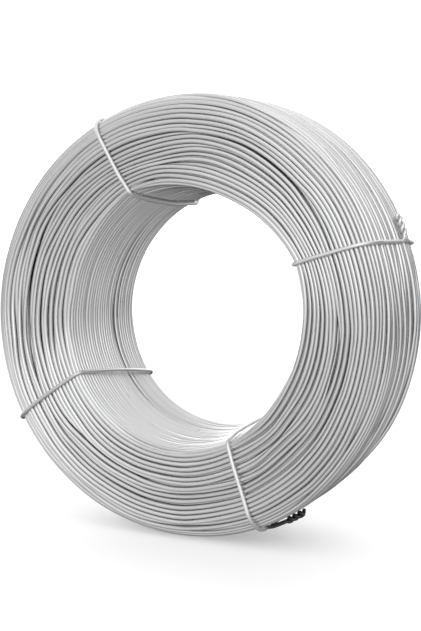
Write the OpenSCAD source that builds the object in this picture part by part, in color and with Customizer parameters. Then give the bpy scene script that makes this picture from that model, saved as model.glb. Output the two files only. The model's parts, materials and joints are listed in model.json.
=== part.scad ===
// Coil of drawn galvanised steel wire, close wound and held by four tie wires.
// Millimetres, +Z up. The coil stands on its rim with its winding axis along Y and its front
// end towards -Y, and the origin is on the floor under its middle.
// Each piece is made about a winding axis along Z, front end up, and then stood on its rim.
// Angles run anticlockwise round the front end from +X.

/* [Wire] */
// Diameter of the coiled wire
wire_d = 3.15; // [2.5:0.05:4]
// Share of a wire's diameter that the groove between two turns is deep
groove_share = 0.36; // [0.2:0.02:0.44]

/* [Coil] */
// Outside diameter over the crowns of the outer turns
coil_od = 304; // [290:1:330]
// Diameter of the bore, over the crowns of the inner turns
bore_d = 171; // [160:1:180]
// Width of the coil along its axis, over the crowns of the end turns
coil_w = 91.5; // [86:0.5:110]
// Rounding of the section at the outer edge of the front end
front_outer_r = 17; // [8:1:22]
// Rounding of the section at the inner edge of the front end
front_inner_r = 5; // [4:1:22]
// Rounding of the section at the outer edge of the back end
back_outer_r = 36; // [8:1:40]
// Rounding of the section at the inner edge of the back end
back_inner_r = 7; // [4:1:14]

/* [Tie wire] */
// Diameter of the tie wire
tie_d = 2.5; // [1.6:0.1:3]
// Clearance between a tie and the crowns of the turns
tie_gap = 0.15; // [0.05:0.05:0.5]
// Length of the twisted pigtail that closes a tie
twist_len = 16; // [12:1:30]
// Length of the bottom tie's pigtail
bottom_twist_len = 22; // [12:1:30]
// Length of one full turn of the pigtail, in diameters of the tie wire
twist_lay = 3.6; // [3.4:0.1:5]
// Distance of the pigtails behind the front end
twist_back = 40; // [30:1:60]
// Distance of the bottom tie's pigtail behind the front end
bottom_twist_back = 24; // [22:1:60]
// Radius that each end of a tie bends through into the pigtail, in tie diameters
twist_bend = 1.5; // [1:0.1:2.5]

/* [Tie places] */
// Angle of the right tie on the outer wall
right_wall_angle = 18.5; // [0:0.5:60]
// Angle of the right tie at the inner edge of the front end
right_front_angle = 24; // [0:0.5:60]
// Angle of the right tie at the inner edge of the back end
right_back_angle = 23; // [0:0.5:60]
// Angle of the upper left tie on the outer wall
upper_left_wall_angle = 115; // [90:0.5:150]
// Angle of the upper left tie at the inner edge of the front end
upper_left_front_angle = 113; // [90:0.5:150]
// Angle of the upper left tie at the inner edge of the back end
upper_left_back_angle = 108.5; // [90:0.5:150]
// Angle of the lower left tie on the outer wall
lower_left_wall_angle = 211; // [180:0.5:240]
// Angle of the lower left tie at the inner edge of the front end
lower_left_front_angle = 208; // [180:0.5:240]
// Angle of the lower left tie at the inner edge of the back end
lower_left_back_angle = 216.5; // [180:0.5:240]
// Angle of the bottom tie on the outer wall
bottom_wall_angle = 293.5; // [285:0.5:330]
// Angle of the bottom tie at the inner edge of the front end
bottom_front_angle = 295.5; // [285:0.5:330]
// Angle of the bottom tie at the inner edge of the back end
bottom_back_angle = 302; // [285:0.5:330]
// Distance that the upper left tie stands off the bore's wall at its middle
upper_left_bow = 1.5; // [0:0.5:12]
// Distance that the bottom tie stands off the bore's wall at its middle
bottom_bow = 2; // [0:0.5:12]

/* [Hidden] */

wire_r = wire_d / 2;
outer_r = coil_od / 2;
bore_r = bore_d / 2;
end_z = coil_w / 2;

// How far round a turn's section its bead reaches each side of the crown
bead_angle = 50;
coil_fn = 128;

// A tie's middle line lies this far outside the crowns
tie_off = tie_gap + tie_d / 2;
// The two strands of a pigtail run side by side with this play between them
strand_play = 0.03 * tie_d;
helix_r = (tie_d + strand_play) / 2;
twist_pitch = twist_lay * tie_d;
twist_r = outer_r + tie_gap + tie_d / 2 + helix_r;
bend_r = twist_bend * tie_d;
// Straight length of the outer wall that a pigtail's two bends need on each side of it
bend_room = helix_r + bend_r + tie_d / 2;

tube_sides = 8;
arc_steps = 10;
bow_steps = 8;
flat_steps = 4;
steps_per_twist = 12;

// ---- the wound turns ----

// The section's rounded corners, from the front inner one over the front end, down the outer
// wall and under the back end: middle radius, middle height, rounding and the outward angle
// at its start. Each turns through 90 degrees and runs on into a straight.
corners = [
    [bore_r + front_inner_r, end_z - front_inner_r, front_inner_r, 180],
    [outer_r - front_outer_r, end_z - front_outer_r, front_outer_r, 90],
    [outer_r - back_outer_r, back_outer_r - end_z, back_outer_r, 0],
    [bore_r + back_inner_r, back_inner_r - end_z, back_inner_r, -90]
];
straights = [
    outer_r - bore_r - front_inner_r - front_outer_r,
    coil_w - front_outer_r - back_outer_r,
    outer_r - bore_r - back_outer_r - back_inner_r,
    coil_w - back_inner_r - front_inner_r
];

// Length of a corner along the middles of its turns
function corner_length(k) = PI / 2 * (corners[k][2] - wire_r);

function total(list, k = 0) = k < len(list) ? list[k] + total(list, k + 1) : 0;

around = total(straights) + total([for (k = [0 : 3]) corner_length(k)]);
turns = floor(around / wire_d);
pitch = around / turns;

// The point at distance d from a place [radius, height, outward angle], turned by some angle
// from its outward direction
function off_place(place, d, turn = 0) =
    [place[0] + d * cos(place[2] + turn), place[1] + d * sin(place[2] + turn)];

// The middle of a turn at distance s along the middles, as [radius, height, outward angle]
function turn_place(s, k = 0) =
    let (
        corner = corners[k],
        bend = corner_length(k),
        angle = corner[3] - 90 * min(s / bend, 1),
        middle = off_place([corner[0], corner[1], angle], corner[2] - wire_r),
        beyond = s - bend
    )
    beyond > straights[k] && k < 3
        ? turn_place(beyond - straights[k], k + 1)
        : concat(off_place([middle[0], middle[1], angle], max(beyond, 0), -90), angle);

// Outline of the section: a bead for each turn, and a groove between each two
function section_outline() = [
    for (i = [0 : turns - 1])
        let (place = turn_place(i * pitch))
        each [
            off_place(place, wire_r, bead_angle),
            off_place(place, wire_r),
            off_place(place, wire_r, -bead_angle),
            off_place(turn_place((i + 0.5) * pitch), wire_r - groove_share * wire_d)
        ]
];

// ---- the tie wires ----

// A quarter circle of a tie's loop, as [radius, height] points at a constant clearance from
// an edge of the coil
function edge_arc(r, z, edge_r, from, to) =
    [for (i = [0 : arc_steps])
        let (angle = from + (to - from) * i / arc_steps)
        [r + (edge_r + tie_off) * cos(angle), z + (edge_r + tie_off) * sin(angle)]];

// Points strictly between two points
function between(a, b, steps) = [for (i = [1 : steps - 1]) a + (b - a) * i / steps];

// The stretch down the bore, which stands off the wall by the bow at its middle
function bore_stretch(top, bottom, bow) =
    [for (i = [1 : bow_steps - 1])
        let (u = i / bow_steps)
        [bore_r - tie_off - 4 * bow * u * (1 - u), top + (bottom - top) * u]];

// The loop from the pigtail over the front end, down the bore, under the back end and up again
function loop_section(bow) =
    let (
        front_out = edge_arc(outer_r - front_outer_r, end_z - front_outer_r, front_outer_r, 0, 90),
        front_in = edge_arc(bore_r + front_inner_r, end_z - front_inner_r, front_inner_r, 90, 180),
        back_in = edge_arc(bore_r + back_inner_r, back_inner_r - end_z, back_inner_r, 180, 270),
        back_out = edge_arc(outer_r - back_outer_r, back_outer_r - end_z, back_outer_r, 270, 360)
    )
    concat(
        front_out,
        between(front_out[arc_steps], front_in[0], flat_steps),
        front_in,
        bore_stretch(end_z - front_inner_r, back_inner_r - end_z, bow),
        back_in,
        between(back_in[arc_steps], back_out[0], flat_steps),
        back_out
    );

// A point given by its angle round the coil, its radius and its height
function round_coil(angle, r, z) = [r * cos(angle), r * sin(angle), z];

function clamped(x, low, high) = max(low, min(high, x));

// A tie crosses the bore from its angle at the front end to its angle at the back end, and
// each end from there to its angle on the outer wall. angles is [front, back, wall]
function loop_angle(r, z, angles) =
    let (
        across = clamped((r - bore_r + tie_off) / (outer_r - bore_r + 2 * tie_off), 0, 1),
        behind = clamped((end_z - z) / coil_w, 0, 1),
        bore_angle = angles[0] + (angles[1] - angles[0]) * behind
    )
    bore_angle + (angles[2] - bore_angle) * across;

// Height of a pigtail, which always lies on the straight part of the outer wall
function twist_height(distance) =
    end_z - clamped(distance, front_outer_r + bend_room, coil_w - back_outer_r - bend_room);

// One end of the tie, which bends round the coil and winds about the other end. side is 1 for
// the end that comes from the front and -1 for the one from the back
function strand(wall_angle, side, distance, length) =
    let (
        twist_z = twist_height(distance),
        steps = ceil(steps_per_twist * length / twist_pitch),
        degrees_per_mm = 180 / PI / twist_r
    )
    concat(
        [for (i = [0 : arc_steps - 1])
            let (u = i / arc_steps, rise = u * u * (3 - 2 * u))
            round_coil(
                wall_angle + bend_r * (1 - cos(90 * u)) * degrees_per_mm,
                outer_r + tie_off + (twist_r - outer_r - tie_off) * rise,
                twist_z + side * (helix_r + bend_r * (1 - sin(90 * u))))],
        [for (i = [0 : steps])
            let (s = length * i / steps, turn = 360 * s / twist_pitch)
            round_coil(
                wall_angle + (bend_r + s) * degrees_per_mm,
                twist_r + side * helix_r * sin(turn),
                twist_z + side * helix_r * cos(turn))]
    );

function reversed(list) = [for (i = [len(list) - 1 : -1 : 0]) list[i]];

function tie_path(angles, bow, distance, length) =
    concat(
        reversed(strand(angles[2], 1, distance, length)),
        [for (p = loop_section(bow)) round_coil(loop_angle(p[0], p[1], angles), p[0], p[1])],
        strand(angles[2], -1, distance, length)
    );

// ---- a tube along a path ----

function unit(v) = v / norm(v);

function along(path, i) = unit(path[min(i + 1, len(path) - 1)] - path[max(i - 1, 0)]);

// A side direction carried along the path without turning about it
function sides_of(path) =
    [for (
        i = 0, side = unit(cross(along(path, 0), [0.3, 0.2, 1]));
        i < len(path);
        i = i + 1,
        side = i < len(path) ? unit(side - (side * along(path, i)) * along(path, i)) : side
    ) side];

module tube(path, d) {
    sides = sides_of(path);
    rings = len(path);
    points = [
        for (i = [0 : rings - 1], k = [0 : tube_sides - 1])
            let (angle = 360 * k / tube_sides)
            path[i] + d / 2 * (cos(angle) * sides[i] + sin(angle) * cross(along(path, i), sides[i]))
    ];
    walls = [
        for (i = [0 : rings - 2], k = [0 : tube_sides - 1])
            let (a = i * tube_sides + k, b = i * tube_sides + (k + 1) % tube_sides)
            each [[a, b + tube_sides, b], [a, a + tube_sides, b + tube_sides]]
    ];
    first_cap = [for (k = [0 : tube_sides - 1]) k];
    last_cap = [for (k = [tube_sides - 1 : -1 : 0]) (rings - 1) * tube_sides + k];
    polyhedron(points, concat(walls, [first_cap, last_cap]), convexity = 10);
}

// ---- the pieces ----

module stand_on_rim() {
    translate([0, 0, outer_r]) rotate([90, 0, 0]) children();
}

module tie(angles, bow = 0, distance = twist_back, length = twist_len) {
    color("gainsboro") stand_on_rim() tube(tie_path(angles, bow, distance, length), tie_d);
}

module wire_coil() {
    color("silver") stand_on_rim() rotate_extrude($fn = coil_fn) polygon(section_outline());
}

module tie_right() {
    tie([right_front_angle, right_back_angle, right_wall_angle]);
}

module tie_upper_left() {
    tie([upper_left_front_angle, upper_left_back_angle, upper_left_wall_angle], upper_left_bow);
}

module tie_lower_left() {
    tie([lower_left_front_angle, lower_left_back_angle, lower_left_wall_angle]);
}

module tie_bottom() {
    tie([bottom_front_angle, bottom_back_angle, bottom_wall_angle], bottom_bow,
        bottom_twist_back, bottom_twist_len);
}

wire_coil();
tie_right();
tie_upper_left();
tie_lower_left();
tie_bottom();
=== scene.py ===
# %% [markdown]
# # A coil of galvanised wire, held by four tie wires
#
# The real object is one long piece of plain round drawn wire. A machine winds it round a
# collapsible drum, close turn beside turn and layer on layer. Four short ties of softer wire
# are pulled round the ring and twisted shut, and then the drum is drawn out.
#
# Only the outermost of some 550 turns can be seen. So there are two things to make well: the
# turns on the outside, which lie side by side but never quite straight, and four thin bright
# ties that bite into them.

# %% Load the frame
import json
import math

import bpy
import numpy as np
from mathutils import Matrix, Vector


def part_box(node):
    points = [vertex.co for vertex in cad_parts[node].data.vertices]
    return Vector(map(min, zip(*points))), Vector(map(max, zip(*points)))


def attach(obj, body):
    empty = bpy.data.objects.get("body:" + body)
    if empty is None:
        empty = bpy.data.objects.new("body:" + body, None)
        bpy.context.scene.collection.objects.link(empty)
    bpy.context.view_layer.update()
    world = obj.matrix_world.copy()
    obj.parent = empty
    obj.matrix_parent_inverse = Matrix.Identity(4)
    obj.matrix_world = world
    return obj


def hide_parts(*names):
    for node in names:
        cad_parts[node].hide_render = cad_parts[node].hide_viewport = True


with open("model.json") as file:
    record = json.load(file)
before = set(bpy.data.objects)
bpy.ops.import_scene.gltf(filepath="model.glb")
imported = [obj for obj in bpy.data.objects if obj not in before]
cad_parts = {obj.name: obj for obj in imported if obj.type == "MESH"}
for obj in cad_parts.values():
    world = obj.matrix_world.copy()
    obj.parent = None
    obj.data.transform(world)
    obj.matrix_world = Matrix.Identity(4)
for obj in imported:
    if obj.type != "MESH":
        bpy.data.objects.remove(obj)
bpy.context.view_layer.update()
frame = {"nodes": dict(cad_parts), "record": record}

print("nodes in the frame:", sorted(frame["nodes"]))

# %% [markdown]
# ## Sizes
#
# The overall sizes come from the frame, so the turns always fill the solid ring that they
# stand for. The rounding of the section's four edges comes from how this coil was wound: the
# front is crisp at the bore and rounded at the rim, and the back falls away towards the rim.

# %% Sizes, in metres
WIRE = 0.00315
TIE_WIRE = 0.0025

low, high = (np.array(corner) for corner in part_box("wire_coil"))
RIM = (high[0] - low[0]) / 2
HALF_WIDTH = (high[1] - low[1]) / 2
BORE = frame["record"]["mounts"][0]["dims"]["r_mm"] / 1000

EDGE = {
    "front_inner": 0.005,
    "front_outer": 0.017,
    "back_outer": 0.040,
    "back_inner": 0.007,
}
print(f"rim {RIM:.4f}, bore {BORE:.4f}, half width {HALF_WIDTH:.4f}")

# %% [markdown]
# ## A place on the coil
#
# Everything on the coil is easiest to say in round terms: an angle round the axis, a radius
# and a depth along the axis. One function turns that into a point of the standing coil, and
# every piece goes through it, the ties too, so they always fit the turns that they hold.
#
# It is also the place for the faults of the whole ring. A coil that has lost its drum is
# never truly round, and this one leans: its back end sits a little higher than its front.
# The tight ties squeeze it as well. Bending the finished meshes with a lattice could do the
# same, but a formula keeps every wire round and every piece at its place.

# %% The faults of the whole ring, in metres and degrees
# How far the back end sits above the front end
LEAN = 0.005
# Cosine and sine part of an oval, which is two waves round the coil
RIM_OVAL = (0.0018, 0.0008)
BORE_OVAL = (0.0, 0.0021)
# The bore off centre, to the right and up
BORE_SHIFT = (0.0008, -0.0013)
# How much wider the bore is at the front: all round, to the right, and as an oval
FLARE = (0.0012, 0.0014, -0.0008)
# Each pull of a tie: its angle, how far it moves the turns, and how far round it reaches.
# A pinch moves the front's inner edge outwards, and a squeeze moves the rim inwards
PINCHES = ((23, 0.0034, 46), (115, 0.0055, 56))
FRONT_SQUEEZE = (10, 0.0080, 78)
BACK_SQUEEZE = (14, 0.0022, 45)


# %% Helpers for smooth changes
def ease(u):
    """From nought to one with a level start and end."""
    u = np.clip(u, 0, 1)
    return u * u * (3 - 2 * u)


def apart(angle, centre):
    """How far two angles are apart, between nought and half a turn."""
    return np.abs((angle - centre + np.pi) % (2 * np.pi) - np.pi)


def share_of_reach(angle, centre, reach):
    """One at the centre and nought at the reach to both sides of it, falling evenly. The
    centre and the reach are in degrees."""
    return np.maximum(0, 1 - apart(angle, math.radians(centre)) / math.radians(reach))


# %% From round terms to a point
def out_of_round(angle, radius, depth):
    """Two waves round the coil, cosine and sine of twice the angle, whose sizes go evenly
    with the radius from those of the bore to those of the rim. The bore is also off centre,
    which is one wave round the coil, and it widens evenly from the back to the front."""
    rim = RIM_OVAL[0] * np.cos(2 * angle) + RIM_OVAL[1] * np.sin(2 * angle)
    bore = BORE_OVAL[0] * np.cos(2 * angle) + BORE_OVAL[1] * np.sin(2 * angle)
    bore = bore + BORE_SHIFT[0] * np.cos(angle) + BORE_SHIFT[1] * np.sin(angle)
    flare = FLARE[0] + FLARE[1] * np.cos(angle) + FLARE[2] * np.sin(2 * angle)
    bore = bore + flare * (HALF_WIDTH - depth) / (2 * HALF_WIDTH)
    share = (radius - BORE) / (RIM - BORE)
    return bore + (rim - bore) * share


def pinched(angle, radius, depth):
    """How far the tight ties have moved the turns. A pinch is a sharp peak round the coil,
    the share of its reach to a power, and fades within 36 mm of the bore. A squeeze is a
    smooth bell. At the front it grows evenly from the bore to the rim. Behind it is only in
    the outer half. All that the front does fades between 6 and 61 mm behind its face."""
    from_front, from_bore = depth + HALF_WIDTH, radius - BORE
    behind = ease((from_front - 0.006) / 0.055)
    by_bore = ease((0.036 - from_bore) / 0.032)
    outer_half = ease((from_bore - 0.022) / 0.024)
    to_rim = np.clip((from_bore - 0.006) / 0.060, 0, 1)
    front = back = 0.0
    for centre, pull, reach in PINCHES:
        front = front + pull * share_of_reach(angle, centre, reach) ** 1.3 * by_bore
    centre, pull, reach = FRONT_SQUEEZE
    front = front - pull * ease(share_of_reach(angle, centre, reach)) * to_rim
    centre, pull, reach = BACK_SQUEEZE
    back = back - pull * ease(share_of_reach(angle, centre, reach)) * outer_half
    return front * (1 - behind) + back * behind


def leaning_point(angle, radius, depth):
    """x is the radius times the cosine of the angle, z is the radius times its sine, y is
    the depth, and z also rises by the lean in proportion to the depth behind the front."""
    radius = radius + out_of_round(angle, radius, depth) + pinched(angle, radius, depth)
    x, depth = np.broadcast_arrays(radius * np.cos(angle), depth)
    rise = LEAN * (depth + HALF_WIDTH) / (2 * HALF_WIDTH)
    return np.stack([x, depth, radius * np.sin(angle) + rise], axis=-1)


lowest = leaning_point(np.radians(np.arange(240, 301)), RIM, EDGE["front_outer"] - HALF_WIDTH)
AXIS_HEIGHT = -lowest[:, 2].min()


def coil_point(angle, radius, depth):
    """The leaning point, raised until the lowest turn stands on the floor."""
    return leaning_point(angle, radius, depth) + np.array([0, 0, AXIS_HEIGHT])


print(f"axis {AXIS_HEIGHT:.4f} m above the floor")

# %% [markdown]
# ## The outline that the turns lie on
#
# A cut through the ring is a rectangle with four rounded edges. The outermost turns lie
# along its outline, one wire's radius inside it. The outline starts in the middle of the
# bore, runs to the front, out over the front end, back along the rim and home over the back
# end. Its outward direction then turns steadily from 180 to 540 degrees, and that single
# angle is all that a tube needs to know to stand square on the outline.

# %% The outline as four arcs joined by straight stretches
def section_outline(inset):
    """Each edge is a quarter circle whose centre stays put while its radius shrinks by the
    inset. Between two arcs the outline is straight. The result is the distance along it,
    with the radius, depth and outward angle there."""
    r_in, r_out = BORE + inset, RIM - inset
    front, back = inset - HALF_WIDTH, HALF_WIDTH - inset
    corners = [
        (r_in, front, 1, 1, EDGE["front_inner"] - inset, 180),
        (r_out, front, -1, 1, EDGE["front_outer"] - inset, 270),
        (r_out, back, -1, -1, EDGE["back_outer"] - inset, 360),
        (r_in, back, 1, -1, EDGE["back_inner"] - inset, 450),
    ]
    radius, depth, facing = [[r_in]], [[0.0]], [[math.radians(180)]]
    for r, y, to_r, to_y, rounding, start in corners:
        turn = np.radians(np.linspace(start, start + 90, 46))
        radius.append(r + to_r * rounding + rounding * np.cos(turn))
        depth.append(y + to_y * rounding + rounding * np.sin(turn))
        facing.append(turn)
    radius, depth, facing = (
        np.concatenate([*parts, [last]])
        for parts, last in ((radius, r_in), (depth, 0.0), (facing, math.radians(540)))
    )
    steps = np.hypot(np.diff(radius), np.diff(depth))
    return np.concatenate([[0.0], np.cumsum(steps)]), radius, depth, facing


OUTLINE = section_outline(WIRE / 2)
PERIMETER = OUTLINE[0][-1]
# Where the flat of the front end and that of the rim start, and where that of the back end
# ends: just before, or just after, the outward angle that the whole flat has
FLAT_START, RIM_START, BACK_END = (
    np.interp(math.radians(facing), OUTLINE[3], OUTLINE[0])
    for facing in (270 - 1e-4, 360 - 1e-4, 450 + 1e-4))
print(f"outline {PERIMETER:.4f} m, room for {PERIMETER / WIRE:.1f} turns")


def off_outline(place, lift):
    """Radius and depth of a point lifted square off the outline, and the outward angle."""
    length, radius, depth, facing = OUTLINE
    place = place % PERIMETER
    out = np.interp(place, length, facing)
    r = np.interp(place, length, radius) + lift * np.cos(out)
    y = np.interp(place, length, depth) + lift * np.sin(out)
    return r, y, out


# %% [markdown]
# ## Where the ties bite
#
# A tie is twisted until it pulls the turns under it together. The soft inner edge of the
# front end gives most, and each turn there takes a bend towards the tie. So the four ties
# are set down before the turns, with how deep each one bites.
#
# No tie runs square round the section. Each slants by some three degrees over the front end,
# and in the bore the lower two slant by two or three times as much.

# %% The four ties
# Each: its angle at the section's front inner, front outer, back outer and back inner edge,
# in degrees; how far its pigtail lies behind the front end and how long it is; its bite; how
# far it stands off the bore's wall halfway along it; and how much of the pigtail's start
# isn't twisted, in metres
TIES = {
    "tie_right": ((23.4, 20.4, 17.4, 23.0), 0.046, 0.014, 0.0012, 0.0, 0.0),
    "tie_upper_left": ((112.4, 115.8, 115.0, 110.3), 0.048, 0.018, 0.0030, 0.0002, 0.0),
    "tie_lower_left": ((207.5, 210.3, 210.3, 217.4), 0.048, 0.018, 0.0006, 0.0026, 0.0),
    "tie_bottom": ((296.2, 293.4, 293.0, 302.0), 0.024, 0.024, 0.0020, 0.0010, 0.010),
}
# How far round the coil a bite reaches, in degrees, and where on the outline it is deepest
# and how wide it is there, in metres
BITE_REACH = 42
BITE_PLACE = FLAT_START - 0.002
BITE_WIDTH = 0.010


def bitten(angle, place):
    """How deep the ties press the surface in. Each adds its bite, times the square of the
    share of its reach round the coil, times a bell along the outline about the front inner
    edge."""
    along = (place - BITE_PLACE + PERIMETER / 2) % PERIMETER - PERIMETER / 2
    bell = np.exp(-((along / BITE_WIDTH) ** 2))
    total = 0.0
    for edges, _, _, bite, *_ in TIES.values():
        total = total + bite * share_of_reach(angle, edges[0], BITE_REACH) ** 2 * bell
    return total


# %% [markdown]
# ## How wound wire lies
#
# A perfect coil looks like a machined part. A real one is told by three things. Turns rise
# and sink a little against their neighbours. Where one sinks, the two beside it close over
# it, until it disappears. And where there is slack, a dark gap opens and shuts again.
#
# It could be faked with a striped bump on a smooth ring, but then no turn could cross over
# another. Here it all follows from one field: how proud each turn stands at each angle. Two
# round wires that touch are one diameter apart, so if one is deeper by h, they lie only
# sqrt(d^2 - h^2) apart along the surface. Adding these spacings up from turn to turn gives
# every place on the outline at once, and the turns crowd, wander and part by themselves.

# %% Seeded waves round the coil
ROUND = 240
ANGLES = np.linspace(0, 2 * np.pi, ROUND, endpoint=False)
rng = np.random.default_rng(315)


def waves(count, first, last, fade):
    """A row of values round the coil for each turn: a sum of cosines, one for each whole
    number of waves from first to last, with random phases, weaker by the power fade of that
    number, and scaled to a spread of one."""
    number = np.arange(first, last + 1)
    phase = rng.uniform(0, 2 * np.pi, (count, len(number), 1))
    weight = number ** -float(fade)
    rows = (weight[:, None] * np.cos(number[:, None] * ANGLES + phase)).sum(axis=1)
    return rows / np.sqrt((weight**2).sum() / 2)


def window(start, end, shoulder):
    """One between two angles and nought outside them, in degrees. Each change is a smooth
    shoulder with its middle at the angle."""
    centre, half = (start + end) / 2, (end - start) / 2
    away = np.degrees(apart(ANGLES, math.radians(centre)))
    return ease((half + shoulder / 2 - away) / shoulder)


# %% How tightly the ties hold the turns
def away_from_ties():
    """Nought right under a tie, and one from 24 degrees away from the nearest tie."""
    nearest = np.full(ROUND, np.pi)
    for (front_inner, front_outer, *_), *_ in TIES.values():
        nearest = np.minimum(nearest, apart(ANGLES, math.radians((front_inner + front_outer) / 2)))
    return ease(nearest / math.radians(24))


# Under a tie the turns are pulled nearly flush, and keep this share of their unevenness
FLUSH = 0.45
FREE = FLUSH + (1 - FLUSH) * away_from_ties()

# %% [markdown]
# ### Turns that sink and grooves that open
#
# Most turns lie touching, and the groove between them is a faint line. A few grooves are open and
# nearly black, and these are what the eye reads first. They are listed, each with its place along the
# outline, where it starts and ends round the coil, and its width.
#
# There is room for a few turns less than were wound, so some are always sunk out of sight.
# Where one comes up another goes down, and the turns between them step aside by one wire.
# Such a change of place is listed too, as a relay of turns.

# %% Open grooves and sunken turns, in millimetres and degrees
# On the front end's face: radius, first and last angle, opening
FACE_GROOVES = [
    (106, 236, 300, 0.8), (103, 298, 366, 0.8), (99.5, 270, 300, 0.55), (98, 298, 376, 0.8),
    (93.5, 318, 378, 0.8), (107, 298, 378, 0.7), (110.5, 286, 328, 0.8), (117.5, 293, 318, 0.8),
    (124, 266, 356, 0.7), (121, 306, 380, 0.6), (124, 22, 66, 0.55), (121, 24, 90, 0.5),
    (113, 24, 90, 0.6), (110, 24, 64, 0.7), (107, 60, 92, 0.8), (104, 66, 92, 0.8),
    (96, 28, 90, 0.8), (121.5, 92, 184, 0.55), (124, 88, 140, 0.45), (112.5, 88, 116, 0.8),
    (114, 132, 238, 0.55), (109, 150, 196, 0.45), (119, 152, 200, 0.55), (105, 160, 190, 0.55),
    (105.5, 114, 136, 0.55), (98, 124, 206, 0.55), (94, 90, 170, 0.55), (90, 116, 150, 0.45),
    (93, 172, 202, 0.45), (105.5, 214, 232, 0.55), (100.5, 230, 270, 0.65), (95.5, 216, 252, 0.55),
    (92, 234, 270, 0.55), (117, 210, 268, 0.55), (124, 222, 270, 0.55), (127, 208, 228, 0.45),
]
# On the rim and in the bore: place from the start of the front end's flat, and the same
WALL_GROOVES = [
    (65, 318, 372, 0.6), (67, 22, 42, 0.5), (92, 300, 375, 1.4), (104, 310, 382, 1.2),
    (79, 4, 26, 0.7), (73, 18, 52, 0.6), (88, 24, 60, 0.9), (97, 40, 80, 0.8),
    (-61, 88, 250, 2.2), (-67, 88, 262, 1.8), (-84, 162, 200, 0.6), (-50, 96, 150, 0.5),
    (-14, 92, 112, 0.6), (-46, 88, 112, 0.6),
    (-27, 120, 190, 0.3), (-45, 190, 240, 0.3), (-20, 230, 280, 0.3),
]
# Each relay: the place of a turn and the angle from which it lies sunk, until the next one's
RELAYS = [
    [(30, 152), (20, 236), (28, 300), (23, 352), (12, 88)],
    [(85, 318), (73, 8), (93, 62), (79, 150), (99, 250)],
    [(-80, 84), (-30, 268)],
    [(165, 20), (176, 90), (158, 160), (170, 215), (150, 290)],
]

# %% How many turns lie on the outline
# Wound turns lie some three per cent of a wire apart, and each relay has one more than fits
TURNS = int(PERIMETER / (WIRE * 1.03)) + len(RELAYS)
EVEN_PLACE = (np.arange(TURNS) + 0.5) * PERIMETER / TURNS
print(f"{TURNS} turns on the outline")


def turn_at(mm):
    """The number of the turn nearest a place along the outline."""
    return np.abs(EVEN_PLACE - (FLAT_START + mm / 1000) % PERIMETER).argmin()


# %% How proud each turn stands at each angle
# How many times a turn sinks by chance
SINKS = 380
# In wire diameters: the unrest of all turns, the least and most depth of a chance sink, and
# how deep a turn lies that is sunk in a relay
UNREST = 0.05
SINK_DEPTH = (0.1, 0.6)
SUNK = 0.90

height = UNREST * waves(TURNS, 1, 5, 0.4) + UNREST * rng.uniform(-1, 1, (TURNS, 1))
for turn in rng.integers(0, TURNS, SINKS):
    start, share = rng.uniform(0, 360), rng.uniform(*SINK_DEPTH)
    height[turn] -= share * window(start, start + rng.uniform(22, 60), 22)

# In the bore the turns lay tight on the drum, so there they are a quarter as uneven
on_drum = (EVEN_PLACE <= 0.040) | (EVEN_PLACE >= BACK_END)
height *= FREE * np.where(on_drum, 0.25, 1.0)[:, None]
for relay in RELAYS:
    for (mm, start), (_, end) in zip(relay, relay[1:] + relay[:1]):
        height[turn_at(mm)] -= SUNK * window(start, start + (end - start) % 360, 40)
height = WIRE * height - bitten(ANGLES[None, :], EVEN_PLACE[:, None])
print(f"turns stand {height.min() * 1000:.1f} to {height.max() * 1000:.1f} mm off the outline")

# %% The places that follow from the heights
# Turns never lie closer along the outline than this share of a wire, however deep one sinks
CLOSEST = 0.45
# The mean drift of this many turns to each side is taken away again, by this share
RUN = 8
HOLD = 0.85

step_up = np.roll(height, -1, axis=0) - height
touching = np.sqrt(np.maximum(WIRE**2 - step_up**2, (CLOSEST * WIRE) ** 2))
slack = np.maximum(0, waves(TURNS, 1, 3, 0.5) - 1.0) ** 1.5 + 0.35


def laid_out(opening):
    """Places and spacings of all turns. Spacings add up to places. What is left of the way
    round is shared out as slack, most of it in a few places. Where a long run of turns has
    drifted from its even place, most of that mean drift is taken away again, so a groove
    stays near where it was set."""
    spacing = touching + opening
    spare = PERIMETER - spacing.sum(axis=0)
    spacing = spacing + slack * spare / slack.sum(axis=0)
    place = np.cumsum(spacing, axis=0) - spacing + EVEN_PLACE[0]
    drift = place - EVEN_PLACE[:, None]
    runs = sum(np.roll(drift, k, axis=0) for k in range(-RUN, RUN + 1))
    place = place - HOLD * runs / (2 * RUN + 1)
    spacing = np.roll(place, -1, axis=0) - place
    spacing[-1] += PERIMETER
    return place, spacing, spare


# %% Opening the grooves
# A first layout without any groove tells between which two turns each of them lies. A radius
# on the face becomes a place on the outline once the ring's own faults are taken off it
place, spacing, spare = laid_out(0.0)
grooves = [(mm / 1000, start, end, width) for mm, start, end, width in WALL_GROOVES]
for mm, start, end, width in FACE_GROOVES:
    middle, radius = math.radians((start + end) / 2), mm / 1000
    faults = out_of_round(middle, radius, -HALF_WIDTH) + pinched(middle, radius, -HALF_WIDTH)
    grooves.append((radius - faults - BORE - EDGE["front_inner"], start, end, width))

opening = np.zeros_like(height)
for from_flat, start, end, width in grooves:
    column = round((start + end) / 2 / 360 * ROUND) % ROUND
    between = place[:, column] + spacing[:, column] / 2
    off = (between - FLAT_START - from_flat + PERIMETER / 2) % PERIMETER - PERIMETER / 2
    opening[np.abs(off).argmin()] += width / 1000 * window(start, end, 22)
place, spacing, spare = laid_out(opening)
print(f"{len(grooves)} grooves, spare way round {spare.min():.4f} to {spare.max():.4f} m")


# %% [markdown]
# ## A tube for every turn
#
# A turn is a ring-shaped tube: at each angle it has a small circle standing square on the
# outline. A curve with a round bevel for each turn would give the same, but only one by one.
# So the whole bundle is one array of points, turn by angle by side, and the faces join each
# circle to the next one round the coil.

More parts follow.
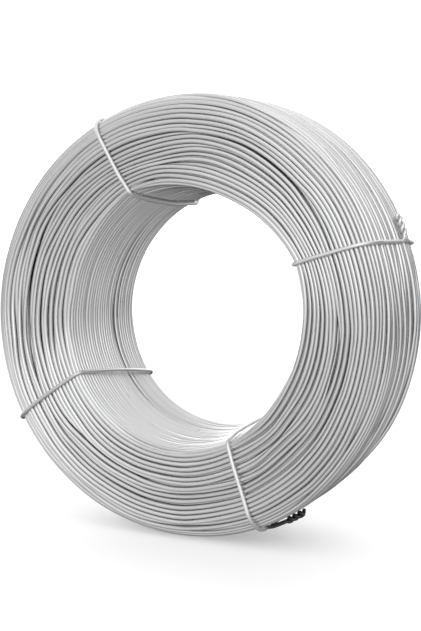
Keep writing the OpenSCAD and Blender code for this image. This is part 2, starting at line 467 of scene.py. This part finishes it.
# %% Points of many tubes at once
def turn_tubes(place, height, sides, angles):
    """The centre of a turn is the outline's point at its place, moved out by its height. Round
    it lies a circle of the wire's radius, spanned by the outward direction and the direction
    along the outline."""
    r, y, out = off_outline(place, height)
    tilt = out[..., None] + np.linspace(0, 2 * np.pi, sides, endpoint=False)
    return coil_point(
        angles[None, :, None],
        r[..., None] + WIRE / 2 * np.cos(tilt),
        y[..., None] + WIRE / 2 * np.sin(tilt),
    )


def ring_faces(turns, steps, sides):
    """A quad joins two neighbouring sides of a circle to the same sides of the next circle,
    and the last circle of a turn joins its first."""
    turn, step, side = np.meshgrid(
        np.arange(turns), np.arange(steps), np.arange(sides), indexing="ij")
    here, ahead = turn * steps + step, turn * steps + (step + 1) % steps
    beside = (side + 1) % sides
    quads = [here * sides + side, here * sides + beside,
             ahead * sides + beside, ahead * sides + side]
    return np.stack(quads, axis=-1).reshape(-1, 4)


def mesh_piece(name, points, quads, caps=()):
    """A smooth-shaded object at the origin, from an array of points and one of quads, with
    any flat end caps as lists of corners."""
    corners = np.concatenate([quads.ravel(), *[np.asarray(cap) for cap in caps]])
    sizes = np.array([4] * len(quads) + [len(cap) for cap in caps])
    mesh = bpy.data.meshes.new(name)
    mesh.vertices.add(len(points))
    mesh.vertices.foreach_set("co", points.astype(np.float32).ravel())
    mesh.loops.add(len(corners))
    mesh.loops.foreach_set("vertex_index", corners.astype(np.int32))
    mesh.polygons.add(len(sizes))
    starts = np.concatenate([[0], np.cumsum(sizes)[:-1]])
    mesh.polygons.foreach_set("loop_start", starts.astype(np.int32))
    mesh.update(calc_edges=True)
    mesh.polygons.foreach_set("use_smooth", sizes == 4)
    piece = bpy.data.objects.new(name, mesh)
    bpy.context.scene.collection.objects.link(piece)
    print(f"{name}: {len(points)} points, {len(sizes)} faces")
    return piece


def give_values(piece, name, values):
    """Stores one value, or one vector, for each point, for the material to read."""
    kind, key = ("FLOAT", "value") if values.ndim == 1 else ("FLOAT_VECTOR", "vector")
    layer = piece.data.attributes.new(name, kind, "POINT")
    layer.data.foreach_set(key, values.astype(np.float32).ravel())


# %% [markdown]
# ## Galvanised steel
#
# The wire was drawn through a die and then dipped in zinc. Drawing leaves it round and
# smooth, and the zinc gives a pale, neutral grey metal whose reflections are soft. A turn
# therefore shows a bright line where it faces the light, a grey middle and a darker flank,
# and no sharp picture of the room. A plain grey with a shine on it could be tried, but only a
# full metal takes all its brightness from the room, as this does.
#
# The zinc isn't even along the wire: the bath and the wipe leave long faint streaks. A turn
# carries its own coordinates for them, long along the wire and short across it. The streaks
# also change the roughness a little. The zinc's grain is a slight bump of about 1 mm, far
# coarser than the real one, which would be too fine to show.

# %% Colour and node helpers
def linear(hex_colour):
    """An sRGB hex colour as linear red, green, blue and alpha."""
    channels = [int(hex_colour[i:i + 2], 16) / 255 for i in (1, 3, 5)]
    return [c / 12.92 if c <= 0.04045 else ((c + 0.055) / 1.055) ** 2.4 for c in channels] + [1.0]


def add(tree, kind, settings=None, inputs=None):
    """Adds a node, sets its properties, and fills its inputs with values or with links from
    other nodes' outputs."""
    node = tree.nodes.new(kind)
    for name, value in (settings or {}).items():
        setattr(node, name, value)
    for name, value in (inputs or {}).items():
        socket = node.inputs[name]
        if isinstance(value, bpy.types.NodeSocket):
            tree.links.new(value, socket)
        else:
            socket.default_value = value
    return node


# %% The wire's metal
# Painted shade: the dark grey that a tie's colour is mixed towards, where it lies in the coil's shadow
# under the rim, and a little along the whole lower left tie
PAINTED_SHADE_GREY = "#4C4C4C"


def galvanised_wire(name, pale, dull, rough):
    """Its colour is mixed from dull to pale by 0.7 times the streaks plus the turn's tone, and that
    towards a painted shade grey by the wire's painted shade attribute, which paints shadow onto a tie.
    Its roughness swings by 0.05 with the streaks."""
    material = bpy.data.materials.new(name)
    material.use_nodes = True
    tree = material.node_tree
    tree.nodes.clear()
    where = add(tree, "ShaderNodeTexCoord").outputs["Object"]
    run = add(tree, "ShaderNodeAttribute", {"attribute_name": "run"}).outputs["Vector"]
    tone = add(tree, "ShaderNodeAttribute", {"attribute_name": "tone"}).outputs["Fac"]
    streaks = add(tree, "ShaderNodeTexNoise", inputs={"Vector": run, "Scale": 1.0, "Detail": 3.0})
    blend = add(tree, "ShaderNodeMath", {"operation": "MULTIPLY_ADD"},
                {0: streaks.outputs["Fac"], 1: 0.7, 2: tone})
    colour = add(tree, "ShaderNodeMix", {"data_type": "RGBA"},
                 {"Factor": blend.outputs[0], 6: linear(dull), 7: linear(pale)})
    # Painted shade: the colour is darkened towards a grey where the wire's painted shade attribute is
    # set
    painted_shade = add(tree, "ShaderNodeAttribute", {"attribute_name": "painted_shade"}).outputs["Fac"]
    colour = add(tree, "ShaderNodeMix", {"data_type": "RGBA"},
                 {"Factor": painted_shade, 6: colour.outputs[2], 7: linear(PAINTED_SHADE_GREY)})
    sheen = add(tree, "ShaderNodeMapRange", inputs={
        "Value": streaks.outputs["Fac"], "From Min": 0.3, "From Max": 0.7,
        "To Min": rough - 0.05, "To Max": rough + 0.05})
    grain = add(tree, "ShaderNodeTexNoise", inputs={"Vector": where, "Scale": 900.0, "Detail": 2.0})
    bump = add(tree, "ShaderNodeBump",
               inputs={"Strength": 0.12, "Distance": 0.0001, "Height": grain.outputs["Fac"]})
    metal = add(tree, "ShaderNodeBsdfPrincipled", inputs={
        "Base Color": colour.outputs[2], "Roughness": sheen.outputs["Result"],
        "Metallic": 1.0, "Normal": bump.outputs["Normal"]})
    add(tree, "ShaderNodeOutputMaterial", inputs={"Surface": metal.outputs["BSDF"]})
    return material


# The outside is clean and bright. The drum has rubbed the bore a little matt. The ties are of
# softer wire with a thicker coat, which is paler and scatters the light more widely
coil_metal = galvanised_wire("galvanised drawn wire", "#E6E6E6", "#D2D2D2", 0.30)
bore_metal = galvanised_wire("galvanised wire rubbed by the drum", "#E6E6E6", "#D6D6D6", 0.32)
tie_metal = galvanised_wire("galvanised tie wire", "#F4F4F4", "#E8E8E8", 0.42)

# %% [markdown]
# ## The four faces of the coil, and the layer beneath
#
# The outer turns are made in four objects: front end, rim, back end and bore. Each stays
# well under 200,000 triangles, and the bore can have its own metal. Between two turns a second
# layer can be seen, deep in the groove, and without it an open groove would look right
# through the coil. It has one turn nested under each groove, with fewer steps and sides.

# %% The bundles of turns
SIDES = 10
UNDER_SIDES = 6


def finish_turns(name, points, tone, chosen, metal):
    """Makes one object of a bundle of turns. Its run coordinates go once round a circle with
    a radius of five units, so a streak is some 40 mm long. Each turn's circle lies 3.7 units
    above the last one's, so it has streaks of its own."""
    turns, steps, sides = points.shape[:3]
    piece = mesh_piece(name, points.reshape(-1, 3), ring_faces(turns, steps, sides))
    give_values(piece, "tone", np.repeat(tone, steps * sides))
    angle = np.linspace(0, 2 * np.pi, steps, endpoint=False)
    run = np.stack(np.broadcast_arrays(
        5 * np.cos(angle)[None, :, None], 5 * np.sin(angle)[None, :, None],
        3.7 * chosen[:, None, None] + np.linspace(0, 1, sides)), axis=-1)
    give_values(piece, "run", run.reshape(-1, 3))
    piece.data.materials.append(metal)
    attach(piece, "root")
    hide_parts("wire_coil")
    return piece


mean_place = place.mean(axis=1)
bore_end, front_end, rim_end, back_end = np.interp(
    np.radians([225, 315, 405, 495]), OUTLINE[3], OUTLINE[0])
groups = {
    "front_turns": (mean_place >= bore_end) & (mean_place < front_end),
    "rim_turns": (mean_place >= front_end) & (mean_place < rim_end),
    "back_turns": (mean_place >= rim_end) & (mean_place < back_end),
    "bore_turns": (mean_place < bore_end) | (mean_place >= back_end),
}
for name, mask in groups.items():
    chosen = np.flatnonzero(mask)
    points = turn_tubes(place[chosen], height[chosen], SIDES, ANGLES)
    metal = bore_metal if name == "bore_turns" else coil_metal
    finish_turns(name, points, rng.uniform(0, 0.5, len(chosen)), chosen, metal)

# A turn beneath touches the two above it, but it never comes up further than 0.8 wire below
# them, or it would fill a wide groove
nest = np.sqrt(WIRE**2 - np.minimum(spacing / 2, 0.6 * WIRE) ** 2)
thin = slice(None, None, 2)
points = turn_tubes((place + spacing / 2)[:, thin], (height + step_up / 2 - nest)[:, thin],
                    UNDER_SIDES, ANGLES[thin])
finish_turns("under_turns", points, np.full(TURNS, 0.2), 200 + np.arange(TURNS), coil_metal)

# %% [markdown]
# ## The ties
#
# Each tie is one length of softer, brighter wire. It goes once round the ring, and its two
# ends meet on the rim, bend the same way round the coil and are twisted together a few
# turns. The cut ends spring apart a little.
#
# A tie could be drawn as a curve by hand, but it would have to be moved with every change of
# the ring. So it is written as three numbers along its length: its angle round the coil, its
# place on the outline and its lift above it. The same function as for the turns makes points
# of them, and the tie follows the ring.

# %% The path of a tie
# Its middle lies this far outside the middles of the turns
TIE_LIFT = WIRE / 2 + TIE_WIRE / 2 + 0.0002
# Radius of the bend into the pigtail, radius of the twist, and length of one turn of it
BEND = 1.5 * TIE_WIRE
HELIX = 0.515 * TIE_WIRE
LAY = 3.4 * TIE_WIRE
# The last stretch of the pigtail, where the strands spring apart, and by how much
SPRING_LENGTH = 0.006
SPRING = 0.25


def strand(side, wall_angle, pigtail_place, twist, straight):
    """One end of a tie. It bends through a quarter circle from across the rim to along it,
    rising by the helix's radius, and then runs round the middle line of the twist as a
    helix. side is -1 for the end that comes from the front and 1 for the other."""
    u = np.linspace(0, 1, 14)[:-1]
    bend = (BEND * (1 - np.cos(u * np.pi / 2)),
            side * (HELIX + BEND * (1 - np.sin(u * np.pi / 2))),
            HELIX * ease(u))
    s = np.linspace(0, twist, 90)
    radius = HELIX * (1 + SPRING * ease((s - twist + SPRING_LENGTH) / SPRING_LENGTH))
    turn = 2 * np.pi * np.maximum(0, s - straight) / LAY
    helix = (BEND + s, side * radius * np.cos(turn), HELIX - side * radius * np.sin(turn))
    round_coil, across, lift = (np.concatenate(pair) for pair in zip(bend, helix))
    return np.stack([wall_angle + round_coil / RIM, pigtail_place + across, TIE_LIFT + lift])


def tie_angle(r, y, edges):
    """The angles at the four edges, blended evenly: with the depth from front to back, and
    with the radius from the bore to the rim."""
    front_inner, front_outer, back_outer, back_inner = np.radians(edges)
    behind = np.clip((y + HALF_WIDTH) / (2 * HALF_WIDTH), 0, 1)
    across = np.clip((r - BORE) / (RIM - BORE), 0, 1)
    inner = front_inner + (back_inner - front_inner) * behind
    outer = front_outer + (back_outer - front_outer) * behind
    return inner + (outer - inner) * across


def tie_path(edges, pigtail, twist, bite, bow, straight):
    """The loop runs down the outline from the pigtail, over the front, through the bore,
    over the back and up to the pigtail again. In the bore it bows out by half a sine wave,
    and where the coil is bitten it goes as deep."""
    pigtail_place = RIM_START + pigtail - EDGE["front_outer"]
    loop = np.linspace(-(HELIX + BEND), -PERIMETER + HELIX + BEND, 420)[1:-1] + pigtail_place
    r, y, out = off_outline(loop, TIE_LIFT)
    angle = tie_angle(r, y, edges)
    in_bore = np.sin(np.pi * np.clip((y + HALF_WIDTH) / (2 * HALF_WIDTH), 0, 1))
    in_bore = in_bore * ease((BORE + 0.012 - r) / 0.012)
    lift = TIE_LIFT + bow * in_bore - bitten(angle, loop % PERIMETER)
    wall = tie_angle(RIM, pigtail - HALF_WIDTH, edges)
    first = strand(-1, wall, pigtail_place, twist, straight)
    last = strand(1, wall, pigtail_place, twist, straight)
    return np.concatenate([first[:, ::-1], np.stack([angle, loop, lift]), last], axis=1)


# %% A tube along a path
def wire_tube(name, path, wire, sides, dull):
    """At each point of the path stands a circle square to it. It is spanned by the part of the coil's
    outward direction that is square to the path, and by a direction square to both. The ends are
    closed with flat caps, as cut wire is. Painted shade is full where the wire runs under the rim near
    the floor, in the coil's shadow, and is the share dull everywhere else."""
    angle, place, lift = path
    centre = coil_point(angle, *off_outline(place, lift)[:2])
    outward = coil_point(angle, *off_outline(place, lift + 0.001)[:2]) - centre
    along = np.gradient(centre, axis=0)
    along /= np.linalg.norm(along, axis=1, keepdims=True)
    outward -= (outward * along).sum(axis=1, keepdims=True) * along
    outward /= np.linalg.norm(outward, axis=1, keepdims=True)
    sideways = np.cross(along, outward)
    around = np.linspace(0, 2 * np.pi, sides, endpoint=False)[None, :, None]
    circle = np.cos(around) * outward[:, None] + np.sin(around) * sideways[:, None]
    points = centre[:, None] + wire / 2 * circle
    steps = len(centre)
    step, side = np.meshgrid(np.arange(steps - 1), np.arange(sides), indexing="ij")
    beside = (side + 1) % sides
    quads = np.stack([step * sides + side, step * sides + beside,
                      (step + 1) * sides + beside, (step + 1) * sides + side], axis=-1)
    caps = [np.arange(sides)[::-1], (steps - 1) * sides + np.arange(sides)]
    piece = mesh_piece(name, points.reshape(-1, 3), quads.reshape(-1, 4), caps)
    length = np.concatenate([[0], np.cumsum(np.linalg.norm(np.diff(centre, axis=0), axis=1))])
    run = np.stack(np.broadcast_arrays(
        (length / 0.02)[:, None], np.cos(around[..., 0]), np.sin(around[..., 0])), axis=-1)
    give_values(piece, "run", run.reshape(-1, 3))
    give_values(piece, "tone", np.full(steps * sides, 0.2))
    # Painted shade: full where the wire runs under the rim near the floor, in the coil's shadow
    shade_under_rim = ease((centre[:, 1] + HALF_WIDTH - 0.014) / 0.008) * (centre[:, 2] < 0.030)
    give_values(piece, "painted_shade", np.repeat(np.maximum(shade_under_rim, dull), sides))
    print(f"{name}: {length[-1]:.3f} m of wire")
    return piece


# %% The four ties
# Painted shade: the lower left tie is darkened a little all along, for the shade it lies in
SHADE_ALL_ALONG = {"tie_lower_left": 0.12}
TIE_SIDES = 12
for name, settings in TIES.items():
    piece = wire_tube(name.replace("tie", "tie_wire"), tie_path(*settings), TIE_WIRE,
                      TIE_SIDES, SHADE_ALL_ALONG.get(name, 0.0))
    piece.data.materials.append(tie_metal)
    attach(piece, "root")
    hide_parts(name)

# %% [markdown]
# ## Camera, floor and light
#
# A shiny metal shows little but its surroundings, so the light here is mostly a room. It is
# brightest above the horizon behind the coil and bright in front of it, half bright to the
# left, and dark to the right and low behind, as beyond the edge of a lit table. A few lamps
# could light the coil too, but each turn would then show one hard line for each lamp.
#
# The floor is pale and plain. It glows a little by itself, so that it ends white with no
# edge. The metal doesn't mirror it: the room's own light from below stands for that.

# %% Camera
# It looks at the coil's middle from the right of the front end and from a little above
CAMERA_AZIMUTH = math.radians(27.57)
CAMERA_HEIGHT = math.radians(3.51)
CAMERA_DISTANCE = 0.75
away = np.array([
    math.sin(CAMERA_AZIMUTH) * math.cos(CAMERA_HEIGHT),
    -math.cos(CAMERA_AZIMUTH) * math.cos(CAMERA_HEIGHT),
    math.sin(CAMERA_HEIGHT),
])
middle = np.array([0, 0, AXIS_HEIGHT])
camera_data = bpy.data.cameras.new("camera")
camera_data.lens = 60.7
camera_data.sensor_width = 36
camera_data.shift_x = 0.0083
camera = bpy.data.objects.new("camera", camera_data)
bpy.context.scene.collection.objects.link(camera)
camera.location = middle + away * CAMERA_DISTANCE
camera.rotation_euler = Vector(-away).to_track_quat("-Z", "Y").to_euler()
bpy.context.scene.camera = camera

# %% Floor
# Half its side in metres, far enough for its edge to lie on the horizon
FLOOR = 60
floor_mesh = bpy.data.meshes.new("floor")
floor_mesh.from_pydata(
    [(-FLOOR, -FLOOR, 0), (FLOOR, -FLOOR, 0), (FLOOR, FLOOR, 0), (-FLOOR, FLOOR, 0)],
    [], [(0, 1, 2, 3)])
floor = bpy.data.objects.new("floor", floor_mesh)
bpy.context.scene.collection.objects.link(floor)
floor.visible_glossy = False
floor_material = bpy.data.materials.new("white studio floor")
floor_material.use_nodes = True
shader = floor_material.node_tree.nodes["Principled BSDF"]
shader.inputs["Base Color"].default_value = linear("#F6F6F6")
shader.inputs["Roughness"].default_value = 0.9
shader.inputs["Emission Color"].default_value = (1, 1, 1, 1)
shader.inputs["Emission Strength"].default_value = 0.25
floor_mesh.materials.append(floor_material)


# %% A soft light overhead
def soft_light(name, place, power, size):
    """A round lamp of some size, turned to face the coil's middle."""
    data = bpy.data.lights.new(name, "AREA")
    data.energy = power
    data.shape = "DISK"
    data.size = size
    lamp = bpy.data.objects.new(name, data)
    bpy.context.scene.collection.objects.link(lamp)
    lamp.location = place
    lamp.rotation_euler = (Vector(middle) - Vector(place)).to_track_quat("-Z", "Y").to_euler()


# In metres and watts: weak and wide, it only gives the soft shadow on the floor
soft_light("overhead", (0.3, -0.2, 2.2), 1.8, 1.6)

# %% The room that the metal mirrors
# Each wall of the room: where it lies from the coil, in degrees from the front towards the
# right, and how bright it is at each of these heights, from -1 straight down to 1 straight up
HEIGHTS = (-1.0, -0.6, -0.3, -0.15, 0.0, 0.2, 0.5, 1.0)
WALLS = [
    (28, (0.4, 0.7, 1.05, 0.8, 1.1, 1.8, 1.55, 0.75)),
    (118, (0.4, 0.35, 0.4, 0.05, 0.1, 0.1, 0.4, 0.75)),
    (208, (0.4, 0.02, 0.02, 1.3, 2.25, 2.9, 2.05, 0.75)),
    (298, (0.4, 0.6, 1.15, 0.85, 0.1, 0.4, 0.8, 0.75)),
]
world = bpy.data.worlds.new("studio")
bpy.context.scene.world = world
world.use_nodes = True
tree = world.node_tree
tree.nodes.clear()
direction = add(tree, "ShaderNodeTexCoord").outputs["Generated"]
upward = add(tree, "ShaderNodeSeparateXYZ", inputs={"Vector": direction}).outputs["Z"]
share = add(tree, "ShaderNodeMapRange",
            inputs={"Value": upward, "From Min": -1.0, "From Max": 1.0}).outputs["Result"]
level = add(tree, "ShaderNodeVectorMath", {"operation": "MULTIPLY"}, {0: direction, 1: (1, 1, 0)})
level = add(tree, "ShaderNodeVectorMath", {"operation": "NORMALIZE"}, {0: level.outputs[0]})


def wall_light(azimuth, brightness):
    """A ramp of brightness by height, times the square of the cosine between a level
    direction and the wall's, which is nought behind it. Four such walls at right angles
    always add up to one whole."""
    ramp = add(tree, "ShaderNodeValToRGB", inputs={"Fac": share})
    stops = ramp.color_ramp.elements
    while len(stops) < len(HEIGHTS):
        stops.new(0.5)
    for stop, height, bright in zip(stops, HEIGHTS, brightness):
        stop.position = (height + 1) / 2
        stop.color = (bright, bright, bright, 1)
    towards = (math.sin(math.radians(azimuth)), -math.cos(math.radians(azimuth)), 0)
    cosine = add(tree, "ShaderNodeVectorMath", {"operation": "DOT_PRODUCT"},
                 {0: level.outputs[0], 1: towards})
    front = add(tree, "ShaderNodeMath", {"operation": "MAXIMUM"}, {0: cosine.outputs["Value"], 1: 0.0})
    square = add(tree, "ShaderNodeMath", {"operation": "POWER"}, {0: front.outputs[0], 1: 2.0})
    return add(tree, "ShaderNodeVectorMath", {"operation": "SCALE"},
               {0: ramp.outputs["Color"], "Scale": square.outputs[0]}).outputs[0]


light = wall_light(*WALLS[0])
for wall in WALLS[1:]:
    light = add(tree, "ShaderNodeVectorMath", {"operation": "ADD"},
                {0: light, 1: wall_light(*wall)}).outputs[0]
room = add(tree, "ShaderNodeBackground", inputs={"Color": light})
add(tree, "ShaderNodeOutputWorld", inputs={"Surface": room.outputs["Background"]})
bpy.context.scene.view_settings.view_transform = "Standard"
